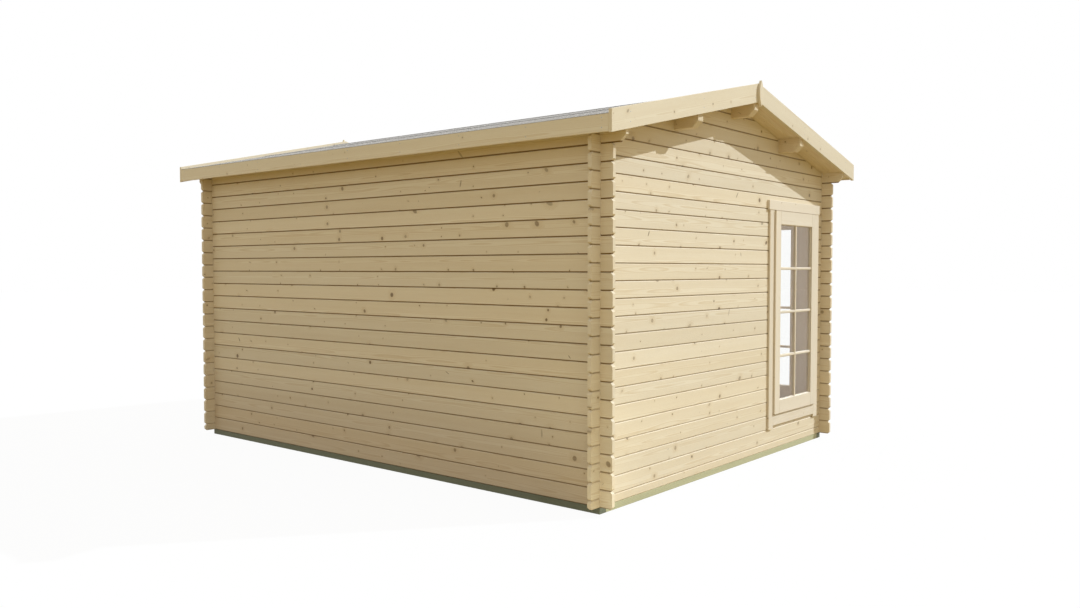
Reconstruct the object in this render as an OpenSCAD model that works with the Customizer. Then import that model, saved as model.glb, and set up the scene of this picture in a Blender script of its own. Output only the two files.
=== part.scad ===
// Log cabin: interlocking tongue-and-groove log walls under a low gable roof.
// The ridge runs along Y, the window gable faces -Y and the double door is in the +X side wall.
// The origin is on the ground at the middle of the plan, and heights in the walls count from the
// top of the bearers.

/* [Cabin] */
// Width over the outer log faces, across the gables
cabin_w = 3464; // [3000:1:4200]
// Length over the outer log faces, along the ridge
cabin_l = 4475; // [3600:1:6000]
// Number of full log courses in a side wall above the one that the head trims reach
head_course_count = 1; // [1:1:4]

/* [Logs] */
// Thickness of a log
log_t = 28; // [26:1:45]
// Height of one course
log_p = 114; // [108:1:125]
// Height of the eave logs at their outer face
eave_log_h = 85; // [60:1:110]
// Length of a log past the outer face of the wall that it crosses
corner_reach = 95; // [60:1:130]
// Chamfer along the log's edges, half of the V groove between two courses
groove_chamfer = 6; // [3:0.5:8]
// Bevel on the upper and lower corner of a log's end
end_bevel = 17; // [8:1:24]
// Width of the tongue along the top of a log
tongue_w = 9; // [7:0.5:10]
// Height of the tongue
tongue_h = 7; // [5:0.5:9]
// Play between two pieces that slot together
fit = 0.3; // [0.2:0.1:0.5]

/* [Base] */
// Height of the bearers and joists
bearer_h = 45; // [35:1:70]
// Width of a bearer
bearer_w = 70; // [60:1:100]
// Distance of the bearers behind the outer log face
bearer_inset = 3; // [0:1:10]
// Width of a floor joist
joist_w = 45; // [38:1:70]
// Largest distance between two joists
joist_step = 600; // [450:10:700]
// Thickness of the floor
floor_t = 19; // [16:1:28]
// Expansion gap between the floor and the logs
floor_gap = 6; // [3:1:10]

/* [Roof] */
// Slope of the roof in degrees
roof_pitch = 13; // [10:0.5:20]
// Overhang of the roof past the side walls, to the face of the fascia
eave_reach = 183; // [140:1:260]
// Overhang of the roof past the gables, to the face of the barge boards
gable_reach = 213; // [150:1:320]
// Thickness of the roof boards
roof_board_t = 19; // [16:1:24]
// Thickness of the insulation on the roof boards
insulation_t = 80; // [50:1:140]
// Thickness of the felt
felt_t = 3.5; // [2:0.5:5]
// Width of a barge board
barge_w = 137; // [120:1:170]
// Thickness of a barge board
barge_t = 25; // [18:1:30]
// Height of the barge boards above the felt
barge_lift = 23; // [8:1:30]
// Height of the fascia
fascia_h = 106; // [80:1:150]
// Thickness of the fascia
fascia_t = 20; // [16:1:26]
// Width of a purlin
purlin_w = 70; // [50:1:90]
// Height of a purlin at its highest edge
purlin_h = 114; // [90:1:180]
// Distance of a middle purlin from the ridge, measured level
purlin_step = 828; // [600:1:950]
// Length cut off the lower corner at the ends of purlins and eave logs
purlin_cut = 44; // [20:1:60]
// Height of the finial
finial_h = 195; // [160:1:260]
// Width of the finial
finial_w = 58; // [40:1:80]
// Thickness of the finial
finial_t = 20; // [15:1:26]
// Height of the finial's tip above the barge boards
finial_lift = 20; // [5:1:50]

/* [Window and door] */
// Distance from the cabin's corner to the window sash, and to the door leaf round the corner
corner_gap = 205; // [170:1:400]
// Width of the sash and of a door leaf
leaf_w = 824; // [700:1:900]
// Height of the sash
sash_h = 1700; // [1500:1:1800]
// Height of the sash above the bearers
sash_z = 290; // [240:1:340]
// Thickness of the sash and of the door leaves
leaf_t = 45; // [40:1:56]
// Distance that the sash and the door leaves stand out from the wall
leaf_out = 30; // [20:1:35]
// Gap round a leaf in its frame
leaf_gap = 2; // [1.5:0.5:4]
// Width of a stile
stile_w = 95; // [80:1:110]
// Width of a rail
rail_w = 115; // [95:1:130]
// Thickness of the glass
glass_t = 4; // [3:1:6]
// Thickness of the panel at the foot of a door leaf
panel_t = 20; // [16:1:24]
// Depth to which glass and panels sit in their grooves
groove_bite = 10; // [6:1:12]
// Face width of the frame in the log opening
jamb_w = 36; // [30:1:44]
// Width of the trim boards
trim_w = 80; // [60:1:100]
// Thickness of the trim boards
trim_t = 16; // [14:1:20]
// Thickness of the head trim
head_trim_t = 20; // [16:1:24]
// Length of the head trim past the side trims
head_lap = 24; // [10:1:35]
// Height of the trim board under the window
apron_h = 92; // [70:1:110]
// Length of the window's side trims past the board under it
trim_drop = 27; // [0:1:40]
// Height of the door's threshold
threshold_h = 26; // [20:1:32]

/* [Hidden] */
$fn = 96;
log_color = [0.86, 0.79, 0.65];
board_color = [0.88, 0.81, 0.68];
purlin_color = [0.83, 0.74, 0.58];
bearer_color = [0.46, 0.52, 0.36];
floor_color = [0.80, 0.70, 0.52];
insulation_color = [0.90, 0.88, 0.80];
felt_color = [0.64, 0.62, 0.60];
glass_color = [0.72, 0.78, 0.78, 0.4];

// Cut that reaches clear of a surface
clear = 1;
notch_d = log_p / 4;
sash_top = sash_z + sash_h;
wall_courses = ceil((sash_top + trim_w) / log_p) + head_course_count;
eave_z = wall_courses * log_p + eave_log_h;
plate_z = (wall_courses - 1) * log_p;
slope = tan(roof_pitch);
ridge_z = eave_z + slope * cabin_w / 2;
board_rise = roof_board_t / cos(roof_pitch);
deck_rise = board_rise + insulation_t / cos(roof_pitch);
felt_rise = felt_t / cos(roof_pitch);
barge_rise = barge_w / cos(roof_pitch);
barge_top = ridge_z + deck_rise + felt_rise + barge_lift;
fascia_x = cabin_w / 2 + eave_reach;
purlin_reach = gable_reach - barge_t;
roof_half_l = cabin_l / 2 + purlin_reach;
gable_top_course = ceil(ridge_z / log_p - 0.5);
between_bearers = cabin_w - 2 * (bearer_inset + bearer_w + fit);
joist_count = ceil(cabin_l / joist_step) - 1;

sash_x = cabin_w - corner_gap - leaf_w;
glass_z = sash_z + rail_w;
glass_h = sash_h - 2 * rail_w;
pane_w = leaf_w - 2 * (leaf_gap + stile_w);
top_rail_h = rail_w - leaf_gap;
door_x = corner_gap;
door_span = 2 * leaf_w + leaf_gap;
// Left edge of each door leaf
door_leaves = [door_x, door_x + leaf_w + leaf_gap];
door_foot = threshold_h + fit;
panel_z = door_foot + rail_w;
panel_h = sash_z - panel_z;

// Each wall has the same frame: x from its left corner seen from outside, y inwards, z from the bearers
module on_front_gable() translate([-cabin_w / 2, -cabin_l / 2, bearer_h]) children();
module on_back_gable() translate([cabin_w / 2, cabin_l / 2, bearer_h]) rotate(180) children();
module on_right_wall() translate([cabin_w / 2, -cabin_l / 2, bearer_h]) rotate(90) children();
module on_left_wall() translate([-cabin_w / 2, cabin_l / 2, bearer_h]) rotate(-90) children();

// Outline in a wall's elevation, carried through the thickness of the logs
module through_wall() {
    translate([0, log_t + clear, 0])
        rotate([90, 0, 0])
            linear_extrude(log_t + 2 * clear) children();
}

// Section of a log of height h, with the groove under it and the tongue on it where they are wanted
module log_section(h, groove, tongue) {
    c = groove_chamfer;
    mid = log_t / 2;
    half = tongue_w / 2;
    slot = half + fit;
    deep = tongue_h + fit;
    foot = groove
        ? [[c, 0], [mid - slot, 0], [mid - slot, deep], [mid + slot, deep], [mid + slot, 0], [log_t - c, 0]]
        : [[c, 0], [log_t - c, 0]];
    top = tongue
        ? [[log_t - c, h], [mid + half, h], [mid + half, h + tongue_h], [mid - half, h + tongue_h],
           [mid - half, h], [c, h]]
        : [[log_t - c, h], [c, h]];
    polygon(concat(foot, [[log_t, c], [log_t, h - c]], top, [[0, h - c], [0, c]]));
}

// Bar along x from -reach to span + reach
module log_bar(span, reach) {
    translate([-reach, 0, 0]) rotate([90, 0, 90]) linear_extrude(span + 2 * reach) children();
}

// Notches that a course has for the logs that it crosses, under and over it
module corner_notches(span, z, h, under, over) {
    for (x = [-fit, span - log_t - fit]) {
        if (under) translate([x, z - clear]) square([log_t + 2 * fit, notch_d + clear]);
        if (over) translate([x, z + h - notch_d]) square([log_t + 2 * fit, notch_d + tongue_h + clear]);
    }
}

// Bevels on the upper and lower corners at both ends of a course
module end_bevels(span, z, h) {
    for (x = [-corner_reach, span + corner_reach]) {
        for (corner_z = [z, z + h])
            translate([x, corner_z]) rotate(45) square(end_bevel * sqrt(2), center = true);
        translate([x - end_bevel, z + h]) square([2 * end_bevel, tongue_h + clear]);
    }
}

// Elevation of a course that crosses the walls at both of its ends
module course_outline(span, z, h, under, over) {
    difference() {
        translate([-corner_reach, z]) square([span + 2 * corner_reach, h + tongue_h]);
        corner_notches(span, z, h, under, over);
        end_bevels(span, z, h);
    }
}

// One log of a wall, with its elevation given as a child
module wall_log(span, z, h, under, over) {
    intersection() {
        translate([0, 0, z]) log_bar(span, corner_reach) log_section(h, under, over);
        through_wall() children();
    }
}

// Logs of a side wall below the plate, every second one from the given course up
module side_wall_logs(first) {
    for (k = [first : 2 : wall_courses - 2])
        wall_log(cabin_l, k * log_p, log_p, k > 0, true)
            difference() {
                course_outline(cabin_l, k * log_p, log_p, true, true);
                children();
            }
}

// Space under the roof boards in a gable's elevation
module under_roof() {
    low = -corner_reach - clear;
    low_z = eave_z + slope * low - fit;
    polygon([
        [low, -clear], [cabin_w - low, -clear],
        [cabin_w - low, low_z], [cabin_w / 2, ridge_z - fit], [low, low_z]
    ]);
}

// Height of a purlin's underside below the ridge of the roof boards, at a level distance from it
function purlin_drop(x) = purlin_h + slope * max(0, abs(x) - purlin_w / 2);

// Section of a purlin at a level distance from the ridge, with its top along the roof boards
module purlin_section(x) {
    left = x - purlin_w / 2;
    right = x + purlin_w / 2;
    peak = left < 0 && right > 0 ? [[0, 0]] : [];
    polygon(concat(
        [[left, -purlin_drop(x)], [right, -purlin_drop(x)], [right, -slope * abs(right)]],
        peak,
        [[left, -slope * abs(left)]]
    ));
}

// Holes in a gable's elevation for the purlins, with play on every side
module purlin_holes() {
    translate([cabin_w / 2, ridge_z])
        for (x = [-purlin_step, 0, purlin_step])
            for (shift = [[-fit, 0], [fit, 0], [0, -fit]])
                translate(shift) purlin_section(x);
}

// Logs of a gable, every second one from the given course up: a half log, full logs, and logs that
// stop at the side walls and are cut to the slope of the roof
module gable_logs(first) {
    for (k = [first : 2 : gable_top_course]) {
        z = max(0, (k - 0.5) * log_p);
        h = k == 0 ? log_p / 2 : log_p;
        wall_log(cabin_w, z, h, k > 0, true)
            difference() {
                intersection() {
                    if (k <= wall_courses) course_outline(cabin_w, z, h, k > 0, true);
                    else translate([log_t + fit, z]) square([cabin_w - 2 * (log_t + fit), h + tongue_h]);
                    under_roof();
                }
                purlin_holes();
                children();
            }
    }
}

// Opening in the logs for a frame round a clear width and height
module frame_opening(x, z, w, h) {
    side = jamb_w + fit;
    translate([x - side, z - side]) square([w + 2 * side, h + 2 * side]);
}

module window_opening() frame_opening(sash_x, sash_z, leaf_w, sash_h);
module door_opening() frame_opening(door_x, -clear, door_span, sash_top + clear);

module left_wall_odd_logs() color(log_color) on_left_wall() side_wall_logs(1);
module left_wall_even_logs() color(log_color) on_left_wall() side_wall_logs(0);
module right_wall_odd_logs() color(log_color) on_right_wall() side_wall_logs(1) door_opening();
module right_wall_even_logs() color(log_color) on_right_wall() side_wall_logs(0) door_opening();
module front_gable_odd_logs() color(log_color) on_front_gable() gable_logs(1) window_opening();
module front_gable_even_logs() color(log_color) on_front_gable() gable_logs(0) window_opening();
module back_gable_odd_logs() color(log_color) on_back_gable() gable_logs(1);
module back_gable_even_logs() color(log_color) on_back_gable() gable_logs(0);

// Elevation of a timber that ends behind the barge boards, with its lower corners cut off
module carried_outline(z, h) {
    start = -purlin_reach;
    end = cabin_l + purlin_reach;
    polygon([
        [start + purlin_cut, z], [end - purlin_cut, z], [end, z + purlin_cut], [end, z + h],
        [start, z + h], [start, z + purlin_cut]
    ]);
}

// Top full log of a side wall
module wall_plate() {
    wall_log(cabin_l, plate_z, log_p, true, true)
        course_outline(cabin_l, plate_z, log_p, true, true);
}

// Log on the plate, planed to the slope of the roof, which runs on under the overhang
module eave_log() {
    c = groove_chamfer;
    z = plate_z + log_p;
    slot = tongue_w / 2 + fit;
    deep = tongue_h + fit;
    intersection() {
        translate([0, 0, z])
            log_bar(cabin_l, purlin_reach)
                polygon([
                    [c, 0], [log_t / 2 - slot, 0], [log_t / 2 - slot, deep], [log_t / 2 + slot, deep],
                    [log_t / 2 + slot, 0], [log_t - c, 0], [log_t, c],
                    [log_t, eave_log_h + slope * log_t], [0, eave_log_h], [0, c]
                ]);
        through_wall()
            difference() {
                carried_outline(z, eave_log_h + log_t);
                corner_notches(cabin_l, z, eave_log_h, true, false);
            }
    }
}

module wall_plates() color(log_color) {
    on_left_wall() wall_plate();
    on_right_wall() wall_plate();
}

module eave_logs() color(log_color) {
    on_left_wall() eave_log();
    on_right_wall() eave_log();
}

// Solid along y from a section in the gable's plane, from y to y + length
module along_ridge(y, length) {
    translate([0, y + length, bearer_h]) rotate([90, 0, 0]) linear_extrude(length) children();
}

// Purlin between the barge boards
module purlin(x) {
    intersection() {
        along_ridge(-roof_half_l, 2 * roof_half_l) translate([0, ridge_z]) purlin_section(x);
        translate([x - purlin_w, -cabin_l / 2, bearer_h])
            rotate([90, 0, 90])
                linear_extrude(2 * purlin_w) carried_outline(ridge_z - purlin_drop(x), 2 * purlin_h);
    }
}

module ridge_purlin() color(purlin_color) purlin(0);

module middle_purlins() color(purlin_color)
    for (x = [-purlin_step, purlin_step])
        purlin(x);

// Layer of one roof slope from x near the ridge out to another x, between two heights over the
// roof boards' underside
module roof_layer(near, far, low, high) {
    along_ridge(-roof_half_l, 2 * roof_half_l)
        translate([0, ridge_z])
            polygon([
                [near, low - slope * abs(near)], [near, high - slope * abs(near)],
                [far, high - slope * abs(far)], [far, low - slope * abs(far)]
            ]);
}

module left_roof_boards() color(board_color) roof_layer(0, fascia_t - fascia_x, 0, board_rise);
module right_roof_boards() color(board_color) roof_layer(0, fascia_x - fascia_t, 0, board_rise);

module roof_insulation() color(insulation_color)
    for (side = [-1, 1])
        roof_layer(side * fit / 2, side * (fascia_x - fascia_t), board_rise, deck_rise);

module left_roof_felt() color(felt_color) roof_layer(0, -fascia_x, deck_rise, deck_rise + felt_rise);
module right_roof_felt() color(felt_color) roof_layer(0, fascia_x, deck_rise, deck_rise + felt_rise);

// Board along the eave, planed to the slope under the felt
module fascia(side) {
    outer_top = ridge_z + deck_rise - slope * fascia_x;
    inner = fascia_x - fascia_t;
    along_ridge(-roof_half_l, 2 * roof_half_l)
        polygon([
            [side * fascia_x, outer_top - fascia_h], [side * fascia_x, outer_top],
            [side * inner, outer_top + slope * fascia_t], [side * inner, outer_top - fascia_h]
        ]);
}

module left_fascia() color(board_color) fascia(-1);
module right_fascia() color(board_color) fascia(1);

// Barge board from the ridge down one slope, plumb at both ends
module barge(side, y) {
    drop = slope * fascia_x;
    along_ridge(y, barge_t)
        polygon([
            [0, barge_top], [side * fascia_x, barge_top - drop],
            [side * fascia_x, barge_top - drop - barge_rise], [0, barge_top - barge_rise]
        ]);
}

module front_left_barge() color(board_color) barge(-1, -roof_half_l - barge_t);
module front_right_barge() color(board_color) barge(1, -roof_half_l - barge_t);
module back_left_barge() color(board_color) barge(-1, roof_half_l);
module back_right_barge() color(board_color) barge(1, roof_half_l);

// Leaf-shaped plate over the joint of two barge boards
module finial(y) {
    arc_r = (finial_h * finial_h + finial_w * finial_w) / (4 * finial_w);
    shift = arc_r - finial_w / 2;
    along_ridge(y, finial_t)
        translate([0, barge_top + finial_lift - finial_h / 2])
            intersection() {
                translate([-shift, 0]) circle(arc_r);
                translate([shift, 0]) circle(arc_r);
            }
}

module front_finial() color(board_color) finial(-roof_half_l - barge_t - finial_t);
module back_finial() color(board_color) finial(roof_half_l + barge_t);

// Timbers on the ground under the walls, the short ones between the long ones
module side_bearers() color(bearer_color)
    for (x = [bearer_inset, cabin_w - bearer_inset - bearer_w])
        translate([x - cabin_w / 2, bearer_inset - cabin_l / 2, 0])
            cube([bearer_w, cabin_l - 2 * bearer_inset, bearer_h]);

module gable_bearers() color(bearer_color)
    for (y = [bearer_inset, cabin_l - bearer_inset - bearer_w])
        translate([-between_bearers / 2, y - cabin_l / 2, 0])
            cube([between_bearers, bearer_w, bearer_h]);

module floor_joists() color(bearer_color)
    for (i = [1 : joist_count])
        translate([-between_bearers / 2, cabin_l * i / (joist_count + 1) - cabin_l / 2 - joist_w / 2, 0])
            cube([between_bearers, joist_w, bearer_h]);

module floor_deck() color(floor_color) {
    edge = log_t + floor_gap;
    translate([edge - cabin_w / 2, edge - cabin_l / 2, bearer_h])
        cube([cabin_w - 2 * edge, cabin_l - 2 * edge, floor_t]);
}

// Grooves that hold a pane or a panel of clear size w by h, centred in the thickness of a leaf
module pane(x, z, w, h, thick, bite) {
    translate([x - bite, leaf_t / 2 - leaf_out - thick / 2, z - bite])
        cube([w + 2 * bite, thick, h + 2 * bite]);
}

module glass_pane(x, play) {
    pane(x + leaf_gap + stile_w, glass_z, pane_w, glass_h, glass_t + 2 * play, groove_bite - fit + play);
}

// Two upright members of a leaf, from z up to the head of its frame
module leaf_stiles(x, z) {
    for (stile_x = [leaf_gap, leaf_w - leaf_gap - stile_w])
        translate([x + stile_x, -leaf_out, z]) cube([stile_w, leaf_t, sash_top - leaf_gap - z]);
}

// Level member of a leaf, between its stiles
module leaf_rail(x, z, h) {
    translate([x + leaf_gap + stile_w, -leaf_out, z]) cube([pane_w, leaf_t, h]);
}

// Frame in the log opening, as deep as the logs
module jambs(x, z, w) {
    for (jamb_x = [x - jamb_w, x + w])
        translate([jamb_x, 0, z]) cube([jamb_w, log_t, sash_top + jamb_w - z]);
}

module frame_rail(x, z, w) translate([x, 0, z]) cube([w, log_t, jamb_w]);

// Trim boards on the outer and the inner side of the wall
module side_trims(x, z, w) {
    for (trim_x = [x - trim_w, x + w])
        for (y = [-trim_t, log_t])
            translate([trim_x, y, z]) cube([trim_w, trim_t, sash_top - z]);
}

module head_trims(x, w) {
    past = trim_w + head_lap;
    for (y = [-head_trim_t, log_t])
        translate([x - past, y, sash_top]) cube([w + 2 * past, head_trim_t, trim_w]);
}

module window_jambs() color(board_color) on_front_gable() jambs(sash_x, sash_z - jamb_w, leaf_w);

module window_head_and_sill() color(board_color) on_front_gable()
    for (z = [sash_z - jamb_w, sash_top])
        frame_rail(sash_x, z, leaf_w);

module window_stiles() color(board_color) on_front_gable()
    difference() {
        leaf_stiles(sash_x, sash_z + fit);
        glass_pane(sash_x, fit);
    }

module window_rails() color(board_color) on_front_gable()
    difference() {
        union() {
            leaf_rail(sash_x, sash_z + fit, rail_w - fit);
            leaf_rail(sash_x, glass_z + glass_h, top_rail_h);
        }
        glass_pane(sash_x, fit);
    }

module window_glass() color(glass_color) on_front_gable() glass_pane(sash_x, 0);

module window_side_trims() color(board_color) on_front_gable()
    side_trims(sash_x, sash_z - apron_h - trim_drop, leaf_w);

module window_head_trims() color(board_color) on_front_gable() head_trims(sash_x, leaf_w);

module window_aprons() color(board_color) on_front_gable()
    for (y = [-trim_t, log_t])
        translate([sash_x, y, sash_z - apron_h]) cube([leaf_w, trim_t, apron_h]);

module door_panel(x, play) {
    pane(x + leaf_gap + stile_w, panel_z, pane_w, panel_h, panel_t + 2 * play, groove_bite - fit + play);
}

module door_jambs() color(board_color) on_right_wall() jambs(door_x, 0, door_span);
module door_head() color(board_color) on_right_wall() frame_rail(door_x, sash_top, door_span);

module door_threshold() color(board_color) on_right_wall()
    translate([door_x, -leaf_out, 0]) cube([door_span, leaf_out + log_t, threshold_h]);

module door_stiles() color(board_color) on_right_wall()
    for (x = door_leaves)
        difference() {
            leaf_stiles(x, door_foot);
            glass_pane(x, fit);
            door_panel(x, fit);
        }

module door_rails() color(board_color) on_right_wall()
    for (x = door_leaves)
        difference() {
            union() {
                leaf_rail(x, door_foot, rail_w);
                leaf_rail(x, sash_z, rail_w);
                leaf_rail(x, glass_z + glass_h, top_rail_h);
            }
            glass_pane(x, fit);
            door_panel(x, fit);
        }

module door_panels() color(board_color) on_right_wall()
    for (x = door_leaves)
        door_panel(x, 0);

module door_glass() color(glass_color) on_right_wall()
    for (x = door_leaves)
        glass_pane(x, 0);

module door_side_trims() color(board_color) on_right_wall() side_trims(door_x, 0, door_span);
module door_head_trims() color(board_color) on_right_wall() head_trims(door_x, door_span);

side_bearers();
gable_bearers();
floor_joists();
floor_deck();
left_wall_odd_logs();
left_wall_even_logs();
right_wall_odd_logs();
right_wall_even_logs();
front_gable_odd_logs();
front_gable_even_logs();
back_gable_odd_logs();
back_gable_even_logs();
wall_plates();
eave_logs();
ridge_purlin();
middle_purlins();
left_roof_boards();
right_roof_boards();
roof_insulation();
left_roof_felt();
right_roof_felt();
left_fascia();
right_fascia();
front_left_barge();
front_right_barge();
back_left_barge();
back_right_barge();
front_finial();
back_finial();
window_jambs();
window_head_and_sill();
window_stiles();
window_rails();
window_glass();
window_side_trims();
window_head_trims();
window_aprons();
door_jambs();
door_head();
door_threshold();
door_stiles();
door_rails();
door_panels();
door_glass();
door_side_trims();
door_head_trims();
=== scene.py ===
import math
import random

import bmesh
import bpy
from mathutils import Matrix, Vector


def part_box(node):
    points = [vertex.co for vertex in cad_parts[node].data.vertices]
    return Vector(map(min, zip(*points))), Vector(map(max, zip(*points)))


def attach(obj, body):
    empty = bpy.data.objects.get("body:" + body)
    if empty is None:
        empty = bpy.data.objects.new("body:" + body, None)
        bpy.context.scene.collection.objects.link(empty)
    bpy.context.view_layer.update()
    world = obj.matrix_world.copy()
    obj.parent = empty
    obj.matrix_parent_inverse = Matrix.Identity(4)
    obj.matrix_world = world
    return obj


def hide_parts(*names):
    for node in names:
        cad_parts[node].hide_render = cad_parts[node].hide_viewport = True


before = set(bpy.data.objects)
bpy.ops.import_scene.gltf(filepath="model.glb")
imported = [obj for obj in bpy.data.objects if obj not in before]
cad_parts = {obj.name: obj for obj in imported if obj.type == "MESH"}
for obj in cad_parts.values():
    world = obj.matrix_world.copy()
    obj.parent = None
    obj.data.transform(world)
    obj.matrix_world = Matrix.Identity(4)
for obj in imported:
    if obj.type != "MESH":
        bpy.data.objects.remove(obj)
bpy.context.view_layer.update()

# Stage: the camera stands at eye height off the corner between the plain side wall and the window
# gable. A sun and a warm sky light the cabin on a white floor that keeps a faint shadow and throws
# back more light at that corner. A weak lamp stands in for the daylight spread about the room.
camera_place = (-6.3616, -5.5769, 1.5462)
camera_turn = (87.82, 0.0, -50.42)
camera_lens = 30.433
sensor_width = 36.0
sun_travel = Vector((-0.62, 0.493, -0.609))
sun_strength = 3.30
sun_tint = (0.82, 0.91, 1.0)
sun_spread = 0.6
sky_tint = (1.0, 0.968, 0.855, 1.0)
sky_strength = 0.75
room_fill_place = (0.2, -0.6, 1.9)
room_fill_power = 18.0
room_fill_tint = (1.0, 0.86, 0.68)
room_fill_size = 0.3
white = (1.0, 1.0, 1.0, 1.0)
floor_half = 60.0
floor_drop = 0.0005
floor_glow_share = 0.95
floor_tint = (0.82, 0.82, 0.82, 1.0)
floor_bounce_tint = (0.374, 0.270, 0.089, 1.0)
corner_bounce_tint = (1.0, 0.92, 0.66, 1.0)
corner_bounce_place = (-2.05, -2.75, 0.0)
corner_bounce_edges = (0.85, 0.25)

scene = bpy.context.scene
scene.view_settings.view_transform = "Standard"


def node(tree, kind, inputs=None, **settings):
    """Shader node with its settings; each input is a plain value or the socket that feeds it."""
    made = tree.nodes.new("ShaderNode" + kind)
    for name, value in settings.items():
        setattr(made, name, value)
    for name, value in (inputs or {}).items():
        if isinstance(value, bpy.types.NodeSocket):
            tree.links.new(value, made.inputs[name])
        else:
            made.inputs[name].default_value = value
    return made


def maths(tree, operation, *values):
    """Result of a Math node."""
    return node(tree, "Math", dict(enumerate(values)), operation=operation).outputs[0]


def blend(tree, share, first, second, mode="MIX"):
    """Colour between two colours, by a share from 0 to 1."""
    sides = {0: share, 6: first, 7: second}
    return node(tree, "Mix", sides, data_type="RGBA", blend_type=mode).outputs[2]


def vectors(tree, operation, *values):
    """Result of a Vector Math node."""
    made = node(tree, "VectorMath", dict(enumerate(values)), operation=operation)
    return made.outputs["Value" if operation in ("LENGTH", "DISTANCE") else "Vector"]


def combined(tree, *values):
    """Vector from its three parts."""
    return node(tree, "CombineXYZ", dict(enumerate(values))).outputs[0]


def fade(tree, value, start, end):
    """Smooth step from 0 where the value is at start to 1 where it is at end."""
    ends = {"Value": value, "From Min": start, "From Max": end}
    return node(tree, "MapRange", ends, interpolation_type="SMOOTHSTEP").outputs[0]


def object_place(tree):
    """Place of a point in the cabin's own frame."""
    return node(tree, "TexCoord").outputs["Object"]


def seen_directly(tree):
    """Share that is 1 for what the camera sees, straight, mirrored or through glass."""
    path = node(tree, "LightPath").outputs
    mirrored = maths(tree, "MAXIMUM", path["Is Camera Ray"], path["Is Glossy Ray"])
    return maths(tree, "MAXIMUM", mirrored, path["Is Transmission Ray"])


def empty_tree(owner):
    """Node tree of a material or world, cleared."""
    owner.use_nodes = True
    owner.node_tree.nodes.clear()
    return owner.node_tree


def new_finish(name):
    """New material and its empty node tree."""
    finish = bpy.data.materials.new(name)
    return finish, empty_tree(finish)


def staged(name, data):
    """New object in the scene."""
    made = bpy.data.objects.new(name, data)
    scene.collection.objects.link(made)
    return made


scene.world = bpy.data.worlds.new("studio")
sky = empty_tree(scene.world)
sky_fill = node(sky, "Background", {"Color": sky_tint, "Strength": sky_strength})
backdrop = node(sky, "Background", {"Color": white, "Strength": 1.0})
sky_mix = node(
    sky, "MixShader", {0: seen_directly(sky), 1: sky_fill.outputs[0], 2: backdrop.outputs[0]}
)
node(sky, "OutputWorld", {"Surface": sky_mix.outputs[0]})

sun = staged("sun", bpy.data.lights.new("sun", "SUN"))
sun.data.energy = sun_strength
sun.data.color = sun_tint
sun.data.angle = math.radians(sun_spread)
sun.rotation_euler = sun_travel.to_track_quat("-Z", "Y").to_euler()

room_fill = staged("room fill", bpy.data.lights.new("room fill", "POINT"))
room_fill.data.energy = room_fill_power
room_fill.data.color = room_fill_tint
room_fill.data.shadow_soft_size = room_fill_size
room_fill.location = room_fill_place
room_fill.visible_camera = False
room_fill.visible_glossy = False
room_fill.visible_transmission = False

camera = staged("camera", bpy.data.cameras.new("camera"))
camera.location = camera_place
camera.rotation_euler = [math.radians(angle) for angle in camera_turn]
camera.data.lens = camera_lens
camera.data.sensor_width = sensor_width
scene.camera = camera

floor_finish, tree = new_finish("white floor")
seen = seen_directly(tree)
off_corner = vectors(tree, "DISTANCE", object_place(tree), corner_bounce_place)
near_corner = fade(tree, off_corner, *corner_bounce_edges)
bounce = blend(tree, near_corner, floor_bounce_tint, corner_bounce_tint)
ground = node(tree, "BsdfDiffuse", {"Color": blend(tree, seen, bounce, floor_tint)})
glow = node(tree, "Emission", {"Color": white, "Strength": 1.0})
glow_share = maths(tree, "MULTIPLY", seen, floor_glow_share)
floor_mix = node(tree, "MixShader", {0: glow_share, 1: ground.outputs[0], 2: glow.outputs[0]})
node(tree, "OutputMaterial", {"Surface": floor_mix.outputs[0]})

floor_mesh = bpy.data.meshes.new("floor")
floor_corners = [
    (floor_half * x, floor_half * y, -floor_drop)
    for x, y in ((-1, -1), (1, -1), (1, 1), (-1, 1))
]
floor_mesh.from_pydata(floor_corners, [], [(0, 1, 2, 3)])
floor_mesh.materials.append(floor_finish)
floor = staged("floor", floor_mesh)


# Bearers and joists: sawn softwood, pressure treated to a dull green. The gables' bearers carry a
# paler copy of it as painted light, for the sun on their faces. They lie flat on the ground, the
# short ones screwed between the long ones.
bearer_pale = (0.190, 0.205, 0.148, 1.0)
bearer_late = (0.115, 0.130, 0.082, 1.0)
lit_bearer_pale = (0.580, 0.580, 0.390, 1.0)
lit_bearer_late = (0.400, 0.410, 0.260, 1.0)
bearer_knot = (0.090, 0.075, 0.035, 1.0)
bearer_wood = {"ring_width": 0.0034, "knot_share": 0.25, "knot_radius": 0.011, "relief": 0.0010}
bearer_ease = 0.002
weld_reach = 0.00001
flat_angle = math.radians(0.5)
edge_angle = math.radians(25)
seeds = random.Random(11)


def shader_group(name, inputs, outputs):
    """New shader node group, with its input sockets to read and its output sockets to fill."""
    group = bpy.data.node_groups.new(name, "ShaderNodeTree")
    for in_out, sockets in (("INPUT", inputs), ("OUTPUT", outputs)):
        for socket, kind in sockets.items():
            group.interface.new_socket(name=socket, in_out=in_out, socket_type="NodeSocket" + kind)
    given = group.nodes.new("NodeGroupInput").outputs
    result = group.nodes.new("NodeGroupOutput").inputs
    return group, given, result


def grouped(tree, group, *values):
    """Outputs of a group's node, with values for the group's inputs in their order."""
    return node(tree, "Group", dict(enumerate(values)), node_tree=group).outputs


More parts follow.
